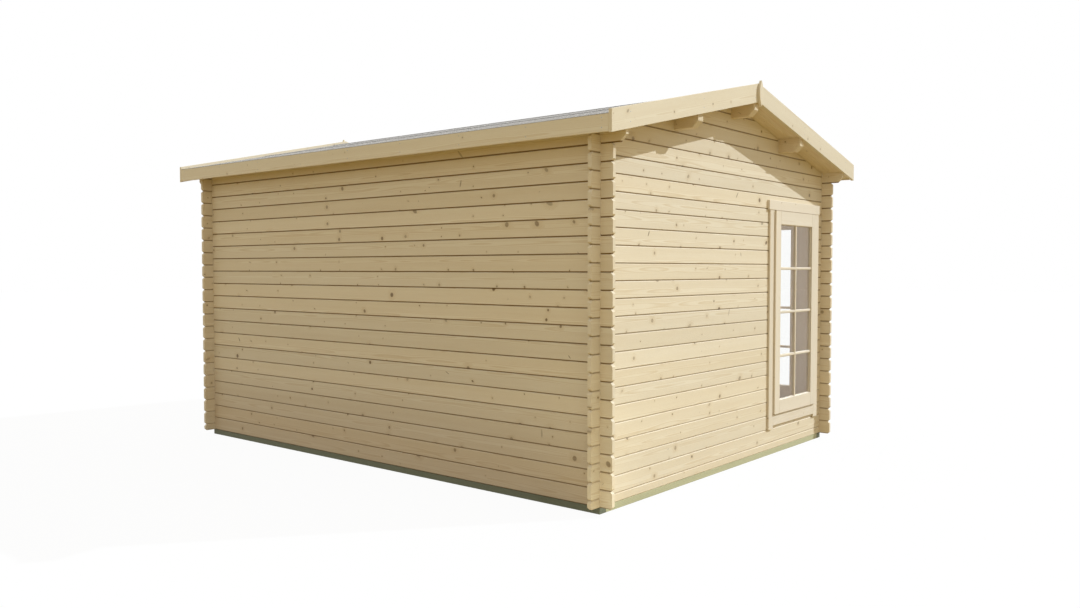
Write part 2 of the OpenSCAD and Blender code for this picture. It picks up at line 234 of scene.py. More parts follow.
# Knots: round or slanting marks on a jittered grid over the face of a board, of several sizes.
knot_scatter = 0.85
knot_flattening = -0.7
knot_flat_power = 5.0
knot_smallest = 0.22
knot_size_power = 3.0
knot_core_edge = 0.55
knot_halo_edge = 3.2
knot_paling = -0.65
knots, given, result = shader_group(
    "knots",
    dict.fromkeys(("Grain", "Shift", "Spacing"), "Vector")
    | dict.fromkeys(("Radius", "Share", "Slant", "Squeeze"), "Float"),
    {"Core": "Float", "Halo": "Float", "Push": "Float"},
)
spread = vectors(knots, "DIVIDE", given["Grain"], given["Spacing"])
place = vectors(knots, "ADD", spread, given["Shift"])
grid = {"Vector": place, "Scale": 1.0, "Randomness": knot_scatter}
cells = node(knots, "TexVoronoi", grid, voronoi_dimensions="2D").outputs
from_middle = vectors(knots, "SUBTRACT", place, cells["Position"])
away = vectors(knots, "MULTIPLY", from_middle, given["Spacing"])
chance = node(knots, "SeparateColor", {"Color": cells["Color"]}).outputs
turn = maths(knots, "MULTIPLY", maths(knots, "SUBTRACT", chance["Blue"], 0.5), given["Slant"])
turned = node(knots, "VectorRotate", {"Vector": away, "Angle": turn}, rotation_type="Z_AXIS")
flatness = maths(knots, "POWER", chance["Blue"], knot_flat_power)
stretch = maths(knots, "MULTIPLY_ADD", flatness, knot_flattening, 1.0)
stretch = maths(knots, "MULTIPLY", stretch, given["Squeeze"])
squeeze = combined(knots, 1.0, stretch, 0.0)
reach = vectors(knots, "LENGTH", vectors(knots, "MULTIPLY", turned.outputs[0], squeeze))
bulk = maths(knots, "POWER", chance["Red"], knot_size_power)
bulk = maths(knots, "MULTIPLY_ADD", bulk, 1.0 - knot_smallest, knot_smallest)
radius = maths(knots, "MULTIPLY", bulk, given["Radius"])
present = maths(knots, "LESS_THAN", chance["Green"], given["Share"])
core_edge = maths(knots, "MULTIPLY", radius, knot_core_edge)
halo_edge = maths(knots, "MULTIPLY", radius, knot_halo_edge)
rank = maths(knots, "DIVIDE", chance["Green"], given["Share"])
depth = maths(knots, "MULTIPLY_ADD", rank, knot_paling, 1.0)
depth = maths(knots, "MULTIPLY", depth, present)
core = maths(knots, "MULTIPLY", fade(knots, reach, radius, core_edge), depth)
halo = maths(knots, "MULTIPLY", fade(knots, reach, halo_edge, core_edge), present)
knots.links.new(core, result["Core"])
knots.links.new(halo, result["Halo"])
knots.links.new(maths(knots, "MULTIPLY", halo, radius), result["Push"])


# Planed softwood: growth rings round a pith outside the board, which bend past the knots, with
# fibre streaks along the grain and a tone of its own for each board.
seed_spread = 311.7
shift_spread = (19.0, 23.0, 29.0)
slow_stretch = (0.8, 7.0, 7.0)
band_stretch = (0.9, 26.0, 26.0)
fibre_stretch = (11.0, 620.0, 620.0)
knot_spacing = (0.26, 0.062, 0.0)
knot_slant = 2.6
spike_spacing = (0.62, 0.13, 0.0)
spike_shift = (7.0, 2.0, 0.0)
spike_radius = 0.42
spike_share = 0.55
spike_slant = 2.4
spike_squeeze = 0.26
pitch_spacing = (0.9, 0.0045, 0.0)
pitch_shift = (3.0, 5.0, 0.0)
pitch_radius = 0.0012
pitch_share = 0.012
pith_aside = (0.12, -0.06)
pith_depth = (0.06, 0.03)
ring_wander = 0.02
knot_bend = 1.6
band_bend = 0.8
late_start = (0.30, 0.88)
late_end = (1.0, 0.90)
dark_base = 0.12
late_dark = 0.55
band_dark = 0.55
fibre_dark = 0.40
halo_dark = 0.35
warm_board = (1.0, 0.968, 0.905, 1.0)
cool_board = (0.995, 0.985, 0.965, 1.0)
board_tone = (0.08, 0.945)
knot_stain = 0.85
spike_stain = 0.8
wood_roughness = 0.62
late_polish = -0.10
knot_polish = -0.14
late_height = 0.6
knot_height = -0.7
bump_strength = 0.6
surface_shine = 0.3
softwood, given, result = shader_group(
    "planed softwood",
    {"Grain": "Vector", "Seed": "Float"}
    | dict.fromkeys(("Pale", "Late", "Knot"), "Color")
    | dict.fromkeys(("Ring Width", "Knot Share", "Knot Radius"), "Float"),
    {"Color": "Color", "Roughness": "Float", "Height": "Float"},
)
toss = maths(softwood, "MULTIPLY", given["Seed"], seed_spread)
dice = node(softwood, "TexWhiteNoise", {"W": toss}, noise_dimensions="1D").outputs
draw = node(softwood, "SeparateColor", {"Color": dice["Color"]}).outputs
board_shift = vectors(softwood, "MULTIPLY", dice["Color"], shift_spread)


def streaks(stretch, detail):
    """Noise drawn out along the grain, centred on 0."""
    drawn = vectors(softwood, "MULTIPLY", given["Grain"], stretch)
    spot = vectors(softwood, "ADD", drawn, board_shift)
    noise = node(softwood, "TexNoise", {"Vector": spot, "Scale": 1.0, "Detail": detail})
    return maths(softwood, "SUBTRACT", noise.outputs[0], 0.5)


def marks(spacing, radius, share, slant, squeeze=1.0, shift=(1.0, 1.0, 1.0)):
    """Knots of one kind, on a grid of their own."""
    moved = vectors(softwood, "MULTIPLY", board_shift, shift)
    return grouped(softwood, knots, given["Grain"], moved, spacing, radius, share, slant, squeeze)


def summed(total, *terms):
    """Total with each mark added to it by its share."""
    for mark, share in terms:
        total = maths(softwood, "MULTIPLY_ADD", mark, share, total)
    return total


slow = streaks(slow_stretch, detail=2.0)
band = streaks(band_stretch, detail=3.0)
fibre = streaks(fibre_stretch, detail=2.0)
knot_marks = marks(knot_spacing, given["Knot Radius"], given["Knot Share"], knot_slant)
spike_marks = marks(
    spike_spacing,
    maths(softwood, "MULTIPLY", given["Knot Radius"], spike_radius),
    maths(softwood, "MULTIPLY", given["Knot Share"], spike_share),
    spike_slant,
    spike_squeeze,
    spike_shift,
)
pitch_marks = marks(pitch_spacing, pitch_radius, pitch_share, slant=0.0, shift=pitch_shift)
aside = maths(softwood, "MULTIPLY_ADD", draw["Red"], *pith_aside)
below = maths(softwood, "MULTIPLY_ADD", draw["Green"], *pith_depth)
from_pith = vectors(softwood, "ADD", given["Grain"], combined(softwood, 0.0, aside, below))
section = vectors(softwood, "MULTIPLY", from_pith, (0.0, 1.0, 1.0))
ring_place = vectors(softwood, "LENGTH", section)
ring_place = summed(ring_place, (slow, ring_wander), (knot_marks["Push"], knot_bend))
rings = maths(softwood, "DIVIDE", ring_place, given["Ring Width"])
year = maths(softwood, "FRACT", summed(rings, (band, band_bend)))
late = maths(
    softwood, "MULTIPLY", fade(softwood, year, *late_start), fade(softwood, year, *late_end)
)
dark_share = summed(dark_base, (late, late_dark), (band, band_dark), (fibre, fibre_dark))
dark_share = summed(dark_share, (knot_marks["Halo"], halo_dark))
dark_share = maths(softwood, "MINIMUM", maths(softwood, "MAXIMUM", dark_share, 0.0), 1.0)
tint = blend(softwood, dark_share, given["Pale"], given["Late"])
warmth = blend(softwood, draw["Blue"], warm_board, cool_board)
tint = blend(softwood, 1.0, tint, warmth, "MULTIPLY")
tone = maths(softwood, "MULTIPLY_ADD", dice["Value"], *board_tone)
tint = vectors(softwood, "MULTIPLY", tint, combined(softwood, tone, tone, tone))
stains = ((knot_marks, knot_stain), (spike_marks, spike_stain), (pitch_marks, spike_stain))
for kind, share in stains:
    stain = maths(softwood, "MULTIPLY", kind["Core"], share)
    tint = blend(softwood, stain, tint, given["Knot"])
softwood.links.new(tint, result["Color"])
roughness = summed(wood_roughness, (late, late_polish), (knot_marks["Core"], knot_polish))
softwood.links.new(roughness, result["Roughness"])
height = summed(fibre, (late, late_height), (knot_marks["Core"], knot_height))
softwood.links.new(height, result["Height"])


def surface(tree, color, roughness, height, relief, metallic=0.0):
    """Principled surface with bump from a height map, relief metres deep."""
    bump = node(tree, "Bump", {"Strength": bump_strength, "Distance": relief, "Height": height})
    shader = node(
        tree,
        "BsdfPrincipled",
        {
            "Base Color": color,
            "Roughness": roughness,
            "Metallic": metallic,
            "Specular IOR Level": surface_shine,
            "Normal": bump.outputs[0],
        },
    )
    node(tree, "OutputMaterial", {"Surface": shader.outputs[0]})


def wood_look(tree, grain, seed, tints, ring_width, knot_share, knot_radius):
    """Colour, roughness and height of planed softwood; tints are pale wood, late wood and knots."""
    return grouped(tree, softwood, grain, seed, *tints, ring_width, knot_share, knot_radius)


def timber_finish(name, tints, relief, edges=None, **wood):
    """Softwood material for pieces that carry their own grain coordinates and seed. Edges is a
    function that gives a painted shadow line over and under a leaf, for a leaf that has one."""
    finish, tree = new_finish(name)
    grain = node(tree, "Attribute", attribute_name="grain").outputs["Vector"]
    seed = node(tree, "Attribute", attribute_name="seed").outputs["Fac"]
    look = wood_look(tree, grain, seed, tints, **wood)
    color = look["Color"]
    if edges:
        color = blend(tree, 1.0, color, edges(tree), "MULTIPLY")
    surface(tree, color, look["Roughness"], look["Height"], relief)
    return finish


def solids(mesh):
    """Connected solids of a bmesh, each as a list of its vertices."""
    mesh.verts.index_update()
    found = bytearray(len(mesh.verts))
    for first in mesh.verts:
        if found[first.index]:
            continue
        found[first.index] = 1
        waiting = [first]
        solid = []
        while waiting:
            vert = waiting.pop()
            solid.append(vert)
            for edge in vert.link_edges:
                other = edge.other_vert(vert)
                if not found[other.index]:
                    found[other.index] = 1
                    waiting.append(other)
        yield solid


def extent(solid, axis):
    """Lowest and highest place of a solid's vertices along an axis."""
    places = [vert.co.dot(axis) for vert in solid]
    return min(places), max(places)


def mark_grain(mesh, run=None):
    """Gives each solid a seed and its grain coordinates: along its length, across and through it.
    Timbers that lie on the roof's slope are measured along it, by run."""
    grain = mesh.verts.layers.float_vector.new("grain")
    seed = mesh.verts.layers.float.new("seed")
    level = (Vector((1, 0, 0)), Vector((0, 1, 0)), Vector((0, 0, 1)))
    slanted = run and (run, Vector((0, 1, 0)), run.cross(Vector((0, 1, 0))))
    for solid in solids(mesh):
        spans = [(extent(solid, axis), axis) for axis in slanted or level]
        longest_first = sorted(spans, key=lambda span: span[0][0] - span[0][1])
        if run:
            rest = [span for span in longest_first if span[1] is not run]
            longest_first = [spans[0]] + rest
        own_seed = seeds.random()
        for vert in solid:
            vert[grain] = [vert.co.dot(axis) - sum(ends) / 2 for ends, axis in longest_first]
            vert[seed] = own_seed


def ease_edges(mesh, width, steps=2):
    """Rounds every outer edge of a mesh, as a plane or sandpaper does."""
    sharp = [
        edge
        for edge in mesh.edges
        if edge.is_manifold and edge.calc_face_angle_signed() > edge_angle
    ]
    bmesh.ops.bevel(
        mesh,
        geom=sharp,
        offset=width,
        offset_type="OFFSET",
        segments=steps,
        profile=0.5,
        affect="EDGES",
        clamp_overlap=True,
    )


def piece(name, mesh, finish, slot, *replaced, smooth_angle=None):
    """Object from a finished bmesh, fixed to the cabin and standing for the replaced nodes."""
    data = bpy.data.meshes.new(name)
    mesh.to_mesh(data)
    mesh.free()
    data.materials.append(finish)
    if smooth_angle:
        data.shade_smooth()
        data.set_sharp_from_angle(angle=smooth_angle)
    made = staged(name, data)
    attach(made, "root")
    if replaced:
        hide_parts(*replaced)


def node_mesh(node_name):
    """Copy of a node's mesh, with the vertices that lie on each other joined."""
    mesh = bmesh.new()
    mesh.from_mesh(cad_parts[node_name].data)
    bmesh.ops.remove_doubles(mesh, verts=mesh.verts, dist=weld_reach)
    return mesh


def eased_timbers(node_name, finish, slot, ease, run=None):
    """Stands for a node of plain timbers: the same solids with eased edges and their own grain."""
    mesh = node_mesh(node_name)
    bmesh.ops.dissolve_limit(mesh, angle_limit=flat_angle, verts=mesh.verts, edges=mesh.edges)
    ease_edges(mesh, ease)
    mark_grain(mesh, run)
    piece("eased_" + node_name, mesh, finish, slot, node_name)


bearer_finish = timber_finish(
    "treated bearer", (bearer_pale, bearer_late, bearer_knot), **bearer_wood
)
# Paler copy of the bearer finish for the gables' bearers: painted light.
painted_lit_bearer_finish = timber_finish(
    "painted lit treated bearer", (lit_bearer_pale, lit_bearer_late, bearer_knot), **bearer_wood
)
eased_timbers("side_bearers", bearer_finish, "bearer", bearer_ease)
eased_timbers("gable_bearers", painted_lit_bearer_finish, "bearer", bearer_ease)
eased_timbers("floor_joists", bearer_finish, "bearer", bearer_ease)


# Floor: tongue-and-groove spruce boards laid across the joists in two lengths, with their end
# joints stepped from row to row on the joists, and nailed through the tongue.
floor_pale = (0.700, 0.570, 0.370, 1.0)
floor_late = (0.520, 0.370, 0.195, 1.0)
floor_knot = (0.150, 0.080, 0.032, 1.0)
floor_wood = {"ring_width": 0.0030, "knot_share": 0.30, "knot_radius": 0.009, "relief": 0.0006}
floor_board_width = 0.096
floor_board_gap = 0.0008
floor_board_ease = 0.0012
floor_joint_places = 5
floor_joint_stride = 2


def block(mesh, low, high):
    """Adds a box between two corners, and returns its vertices."""
    low = Vector(low)
    high = Vector(high)
    place = Matrix.Translation((low + high) / 2) @ Matrix.Diagonal((*(high - low), 1.0))
    return bmesh.ops.create_cube(mesh, size=1.0, matrix=place)["verts"]


deck_low, deck_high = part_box("floor_deck")
joist_low, joist_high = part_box("floor_joists")
row_count = math.ceil((deck_high.x - deck_low.x) / floor_board_width)
row_step = (deck_high.x - deck_low.x) / row_count
deck = bmesh.new()
for row in range(row_count):
    left = deck_low.x + row * row_step
    right = left + row_step - floor_board_gap
    joint_place = (row * floor_joint_stride) % floor_joint_places + 1
    joint = joist_low.y + (joist_high.y - joist_low.y) * joint_place / (floor_joint_places + 1)
    block(deck, (left, deck_low.y, deck_low.z), (right, joint, deck_high.z))
    block(deck, (left, joint + floor_board_gap, deck_low.z), (right, deck_high.y, deck_high.z))
ease_edges(deck, floor_board_ease, steps=1)
mark_grain(deck)
floor_board_finish = timber_finish(
    "floor spruce", (floor_pale, floor_late, floor_knot), **floor_wood
)
piece("floor_boards", deck, floor_board_finish, "floor", "floor_deck")


# Logs: planed spruce, a tongue on top and a groove below, chamfered along the faces so that each
# joint shows as a V line, darkened by painted shade, more above the eye than near the ground and
# more on the side walls than on the gables. They are notched over and under each other at the four
# corners, and a log planed to the slope closes each side wall. The shady left wall has painted
# shade at its foot, darker towards the ground.
log_pale = (0.800, 0.725, 0.590, 1.0)
log_late = (0.660, 0.540, 0.370, 1.0)
log_knot = (0.130, 0.070, 0.018, 1.0)
# Painted shade in the joints: its colour, its depth low and high on side walls and gables, and the
# heights between which it deepens.
joint_painted_shade = (0.25, 0.15, 0.015, 1.0)
side_joint_shade_depths = (0.80, 1.0)
gable_joint_shade_depths = (0.36, 0.74)
joint_shade_heights = (0.2, 1.5)
# Painted shade at the foot of the shady wall: its tint and the heights over which it fades out.
painted_foot_tint = (0.80, 0.75, 0.715, 1.0)
painted_foot_heights = (0.85, -0.1)
# Widths of the painted joint shade below and above each joint, and its share on the top chamfer.
groove_half = 0.0095
groove_floor = 0.0030
groove_top_half = 0.0050
groove_top_share = 0.6
log_course = 0.114
log_wood = {"ring_width": 0.0026, "knot_share": 0.27, "knot_radius": 0.022}
log_relief = 0.0006
course_seed_step = 0.731
wall_seed_step = 17.3
side_wall_seed = 40.0
gable_seed = 90.0

# Courses of a log wall: which log a point is on, where it is on that log, and the share of painted
# shade near a joint, on both chamfers.
courses, given, result = shader_group(
    "log courses",
    dict.fromkeys(("Along", "Height", "Depth", "First Joint", "Wall"), "Float"),
    {"Grain": "Vector", "Seed": "Float", "Joint Shade": "Float"},
)
above = maths(courses, "SUBTRACT", given["Height"], given["First Joint"])
count = maths(courses, "DIVIDE", above, log_course)
course = maths(courses, "FLOOR", count)
part = maths(courses, "SUBTRACT", maths(courses, "SUBTRACT", count, course), 0.5)
across = maths(courses, "MULTIPLY", part, log_course)
log_place = combined(courses, given["Along"], across, given["Depth"])
to_joint_below = maths(courses, "ADD", across, log_course / 2)
to_joint_above = maths(courses, "SUBTRACT", log_course / 2, across)
shade_below = fade(courses, to_joint_below, groove_half, groove_floor)
# The top chamfer gets a lighter painted shade too, which dims the light it catches.
shade_above = fade(courses, to_joint_above, groove_top_half, 0.0)
shade_above = maths(courses, "MULTIPLY", shade_above, groove_top_share)
courses.links.new(log_place, result["Grain"])
log_seed = maths(courses, "MULTIPLY_ADD", course, course_seed_step, given["Wall"])
courses.links.new(log_seed, result["Seed"])
courses.links.new(maths(courses, "MAXIMUM", shade_below, shade_above), result["Joint Shade"])


def log_finish(
    name, along, across, wall_middle, first_joint, wall_seed, painted_depths, painted_foot_reach=None
):
    """Log material for walls that run along one axis; across is the axis through their thickness.
    The joints carry painted shade, by one share low on the wall and another above the eye. The
    outer face has painted shade at its foot as far as painted_foot_reach from the middle of the
    wall, if that is given."""
    finish, tree = new_finish(name)
    axes = node(tree, "SeparateXYZ", {0: object_place(tree)}).outputs
    side = maths(tree, "SIGN", axes[across])
    outwards = maths(tree, "SUBTRACT", maths(tree, "ABSOLUTE", axes[across]), wall_middle)
    wall = maths(tree, "MULTIPLY_ADD", side, wall_seed_step, wall_seed)
    log = grouped(tree, courses, axes[along], axes["Z"], outwards, first_joint, wall)
    tints = (log_pale, log_late, log_knot)
    look = wood_look(tree, log["Grain"], log["Seed"], tints, **log_wood)
    low_share, high_share = painted_depths
    # Painted shade in the joints, deeper above the eye than near the ground.
    climb = fade(tree, axes["Z"], *joint_shade_heights)
    depth = maths(tree, "MULTIPLY_ADD", climb, high_share - low_share, low_share)
    groove = maths(tree, "MULTIPLY", log["Joint Shade"], depth)
    shade = blend(tree, groove, white, joint_painted_shade)
    color = blend(tree, 1.0, look["Color"], shade, "MULTIPLY")
    # Painted shade on the foot of the outer face, darkest at the ground.
    if painted_foot_reach:
        from_middle = maths(tree, "ABSOLUTE", axes[along])
        between_gables = maths(tree, "LESS_THAN", from_middle, painted_foot_reach)
        outside = maths(tree, "GREATER_THAN", outwards, 0.0)
        painted_foot_shade = maths(tree, "MULTIPLY", between_gables, outside)
        painted_foot_shade = maths(tree, "MULTIPLY", painted_foot_shade, fade(tree, axes["Z"], *painted_foot_heights))
        color = blend(tree, painted_foot_shade, color, blend(tree, 1.0, color, painted_foot_tint, "MULTIPLY"))
    surface(tree, color, look["Roughness"], look["Height"], log_relief)
    return finish


def give_finish(node_name, finish):
    """Puts a material on a node that keeps its own shape."""
    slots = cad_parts[node_name].data.materials
    slots.clear()
    slots.append(finish)


bearer_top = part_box("side_bearers")[1].z
side_low, side_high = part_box("left_wall_even_logs")
gable_low, gable_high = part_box("front_gable_even_logs")
plate_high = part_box("wall_plates")[1]
side_middle = plate_high.x - (side_high.x - side_low.x) / 2
gable_middle = -(gable_low.y + gable_high.y) / 2
gable_joint = bearer_top - log_course / 2
side_wall = ("Y", "X", side_middle, bearer_top, side_wall_seed, side_joint_shade_depths)
gable_wall = ("X", "Y", gable_middle, gable_joint, gable_seed, gable_joint_shade_depths)
side_log_finish = log_finish("side wall logs", *side_wall)
gable_log_finish = log_finish("gable logs", *gable_wall)
# The left wall's logs, with painted shade at the foot of their outer face.
painted_foot_log_finish = log_finish("damp side wall logs", *side_wall, painted_foot_reach=gable_middle)
for wall, wall_finish in (
    ("left_wall", painted_foot_log_finish),
    ("right_wall", side_log_finish),
    ("front_gable", gable_log_finish),
    ("back_gable", gable_log_finish),
):
    for courses_set in ("odd", "even"):
        give_finish(f"{wall}_{courses_set}_logs", wall_finish)
give_finish("wall_plates", side_log_finish)
give_finish("eave_logs", side_log_finish)


# Purlins: planed spruce beams that lie in the gables and carry the roof boards. Their ends run out
# under the roof, with the lower corner cut off.
purlin_pale = (0.770, 0.670, 0.500, 1.0)
purlin_late = (0.610, 0.475, 0.300, 1.0)
purlin_wood = {"ring_width": 0.0032, "knot_share": 0.40, "knot_radius": 0.014, "relief": 0.0007}
purlin_ease = 0.003
purlin_finish = timber_finish("purlin spruce", (purlin_pale, purlin_late, log_knot), **purlin_wood)
for purlins in ("ridge_purlin", "middle_purlins"):
    eased_timbers(purlins, purlin_finish, "purlin", purlin_ease)


# Roof boards: narrow tongue-and-groove spruce boards, nailed to the purlins from the ridge down to
# the eave. Their lower edges are chamfered, so that the ceiling shows a V line at each joint.
roof_pitch = math.radians(13)
roof_board_width = 0.095
roof_board_gap = 0.0008
roof_board_chamfer = 0.003
board_pale = (0.780, 0.685, 0.515, 1.0)
board_late = (0.630, 0.495, 0.320, 1.0)
board_wood = {"ring_width": 0.0028, "knot_share": 0.36, "knot_radius": 0.010, "relief": 0.0006}
roof_slope = math.tan(roof_pitch)
roof_board_finish = timber_finish(
    "roof board spruce", (board_pale, board_late, log_knot), **board_wood
)
down_slope = {
    side: Vector((side * math.cos(roof_pitch), 0.0, -math.sin(roof_pitch))) for side in (-1, 1)
}
slope_sides = {"left": -1, "right": 1}
for side_name, side in slope_sides.items():
    boards_low, boards_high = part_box(f"{side_name}_roof_boards")
    board_reach = max(abs(boards_low.x), abs(boards_high.x))
    board_rise = boards_high.z - boards_low.z - roof_slope * board_reach
    ridge_under = boards_high.z - board_rise
    board_count = math.ceil((boards_high.y - boards_low.y) / roof_board_width)
    board_step = (boards_high.y - boards_low.y) / board_count
    boards = bmesh.new()
    for index in range(board_count):
        start = boards_low.y + index * board_step
        end = start + board_step - roof_board_gap
        corners = block(
            boards,
            (boards_low.x, start, ridge_under),
            (boards_high.x, end, ridge_under + board_rise),
        )
        for corner in corners:
            corner.co.z -= roof_slope * abs(corner.co.x)
    ease_edges(boards, roof_board_chamfer, steps=1)
    mark_grain(boards, down_slope[side])
    piece(
        f"{side_name}_roof_boarding",
        boards,
        roof_board_finish,
        "board",
        f"{side_name}_roof_boards",
    )


# Insulation: rigid foam boards, pale and finely celled, laid on the roof boards under the felt.
# The fascias and the barge boards close them in all round, so they don't show.
foam_pale = (0.780, 0.740, 0.600, 1.0)
foam_dark = (0.680, 0.630, 0.480, 1.0)
foam_cell = 260.0
foam_roughness = (0.1, 0.8)
foam_relief = 0.0004
foam_finish, tree = new_finish("rigid foam")
cells = node(tree, "TexVoronoi", {"Vector": object_place(tree), "Scale": foam_cell})
cell_depth = cells.outputs["Distance"]
color = blend(tree, cell_depth, foam_dark, foam_pale)
roughness = maths(tree, "MULTIPLY_ADD", cell_depth, *foam_roughness)
surface(tree, color, roughness, cell_depth, foam_relief)
give_finish("roof_insulation", foam_finish)


# Felt: mineral-faced bitumen sheet in strips along the roof, the upper one lapped over the lower,
# with a cap folded over the ridge. Clout nails hold it along the laps and the eaves.
felt_thick = 0.0022
felt_lap_start = 0.94
felt_lap = 0.08
felt_lap_end = felt_lap_start + felt_lap
felt_cap_half = 0.17
felt_ridge_gap = 0.004
felt_grid = 0.06
felt_wave = 0.0009
felt_ripples = ((5.0, 2.3), (7.1, -1.7), (3.0, 11.0))
felt_pale = (0.580, 0.550, 0.530, 1.0)
felt_dark = (0.350, 0.330, 0.320, 1.0)
felt_bitumen = (0.020, 0.019, 0.018, 1.0)
felt_bleed = 0.008
felt_bleed_share = 0.75
felt_granule = 620.0
felt_patch = 2.6
felt_weathering = 0.4
felt_bare = (0.55, 0.75)
felt_roughness = (0.15, 0.80)
felt_relief = 0.0008
zinc_bright = (0.560, 0.565, 0.560, 1.0)
zinc_dull = (0.36, 0.37, 0.37, 1.0)
zinc_spangle = 900.0
zinc_roughness = (0.2, 0.35)
zinc_relief = 0.0002
zinc_metal = 0.9
clout_radius = 0.005
clout_rise = 0.0010
clout_step = 0.11
clout_inset = 0.03
nail_sides = 10
nail_dome = ((1.0, 0.0), (1.0, 0.5), (0.6, 1.0))
round_angle = math.radians(40)


def steps_between(start, end, largest):
    """Even steps from start to end, none wider than the largest."""
    count = max(1, math.ceil(abs(end - start) / largest))
    return [start + (end - start) * index / count for index in range(count + 1)]


def thin_sheet(mesh, xs, ys, height, thick):
    """Sheet over a grid of places, with its underside at a height that depends on the place."""
    under, over = (
        [[mesh.verts.new((x, y, height(x, y) + lift)) for y in ys] for x in xs]
        for lift in (0.0, thick)
    )
    last_x = len(xs) - 1
    last_y = len(ys) - 1
    for i in range(last_x):
        k = i + 1
        for j in range(last_y):
            mesh.faces.new((over[i][j], over[k][j], over[k][j + 1], over[i][j + 1]))
            mesh.faces.new((under[i][j], under[i][j + 1], under[k][j + 1], under[k][j]))
    for i in range(last_x):
        k = i + 1
        mesh.faces.new((under[i][0], under[k][0], over[k][0], over[i][0]))
        mesh.faces.new((over[i][last_y], over[k][last_y], under[k][last_y], under[i][last_y]))
    for j in range(last_y):
        k = j + 1
        mesh.faces.new((over[0][j], over[0][k], under[0][k], under[0][j]))
        mesh.faces.new((under[last_x][j], under[last_x][k], over[last_x][k], over[last_x][j]))


def loft(mesh, rings):
    """Skin over rings of vertices, one after the other, closed at both ends."""
    count = len(rings[0])
    for low_ring, high_ring in zip(rings, rings[1:]):
        for index in range(count):
            after = (index + 1) % count
            mesh.faces.new((low_ring[index], low_ring[after], high_ring[after], high_ring[index]))
    mesh.faces.new(list(reversed(rings[0])))
    mesh.faces.new(rings[-1])


def nail_heads(mesh, places, radius, rise):
    """Low domed heads; each place is a point and the direction that the head faces."""
    for point, outward in places:
        turn = Vector(outward).to_track_quat("Z", "Y").to_matrix().to_4x4()
        stand = Matrix.Translation(point) @ turn
        rings = []
        for width_share, rise_share in nail_dome:
            wide = width_share * radius
            high = rise_share * rise
            ring = []
            for index in range(nail_sides):
                angle = 2 * math.pi * index / nail_sides
                spot = Vector((wide * math.cos(angle), wide * math.sin(angle), high))
                ring.append(mesh.verts.new(stand @ spot))
            rings.append(ring)
        loft(mesh, rings)


felt_finish, tree = new_finish("mineral felt")
place = object_place(tree)
granules = node(tree, "TexVoronoi", {"Vector": place, "Scale": felt_granule}).outputs
patches = node(tree, "TexNoise", {"Vector": place, "Scale": felt_patch, "Detail": 4.0}).outputs[0]
grain_tone = node(tree, "SeparateColor", {"Color": granules["Color"]}).outputs["Red"]
grey = blend(tree, grain_tone, felt_dark, felt_pale)
color = blend(tree, maths(tree, "MULTIPLY", patches, felt_weathering), grey, felt_pale)
color = blend(tree, fade(tree, granules["Distance"], *felt_bare), color, felt_bitumen)
from_ridge = maths(tree, "ABSOLUTE", node(tree, "SeparateXYZ", {0: place}).outputs["X"])
for lap_edge in (felt_lap_end, felt_cap_half):
    off_edge = maths(tree, "ABSOLUTE", maths(tree, "SUBTRACT", from_ridge, lap_edge))
    bleed = maths(tree, "MULTIPLY", fade(tree, off_edge, felt_bleed, 0.0), felt_bleed_share)
    color = blend(tree, bleed, color, felt_bitumen)
roughness = maths(tree, "MULTIPLY_ADD", patches, *felt_roughness)
granule_height = maths(tree, "SUBTRACT", 1.0, granules["Distance"])
surface(tree, color, roughness, granule_height, felt_relief)

zinc_finish, tree = new_finish("zinc nail")
spangle = node(tree, "TexVoronoi", {"Vector": object_place(tree), "Scale": zinc_spangle}).outputs
dull = node(tree, "SeparateColor", {"Color": spangle["Color"]}).outputs["Green"]
color = blend(tree, dull, zinc_bright, zinc_dull)
roughness = maths(tree, "MULTIPLY_ADD", dull, *zinc_roughness)
surface(tree, color, roughness, dull, zinc_relief, metallic=zinc_metal)

felt_low, felt_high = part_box("left_roof_felt")
felt_reach = abs(felt_low.x)
felt_rise = felt_high.z - felt_low.z - roof_slope * felt_reach
felt_ridge = felt_high.z - felt_rise
felt_ys = steps_between(felt_low.y, felt_high.y, felt_grid)


def felt_level(lift):
    """Height of a strip's underside: on the roof, with a slight wave, and lifted where it laps."""

    def height(x, y):
        long, slanting, short = (math.sin(by_x * x + by_y * y) for by_x, by_y in felt_ripples)
        wave = long * slanting + short
        return felt_ridge - roof_slope * abs(x) + felt_wave * (1 + wave / 2) / 2 + lift(abs(x))

    return height


def on_roof(_):
    """A strip that lies on the insulation all over."""
    return 0.0


def over_lap(x):
    """A strip that climbs on to the one below it at the lap."""
    climb = min(max((x - felt_lap_start + felt_lap) / felt_lap, 0.0), 1.0)
    return felt_thick * climb


def over_both(_):
    """The cap, which lies on the strips of both slopes."""
    return felt_thick


def clouts(x, y_start, y_end, lift):
    """Row of clout nails along the roof at a distance from the ridge."""
    outward = Vector((math.copysign(roof_slope, x), 0.0, 1.0)).normalized()
    level = felt_level(lift)
    return [
        (Vector((x, y, level(x, y) + felt_thick)), outward)
        for y in steps_between(y_start, y_end, clout_step)
    ]


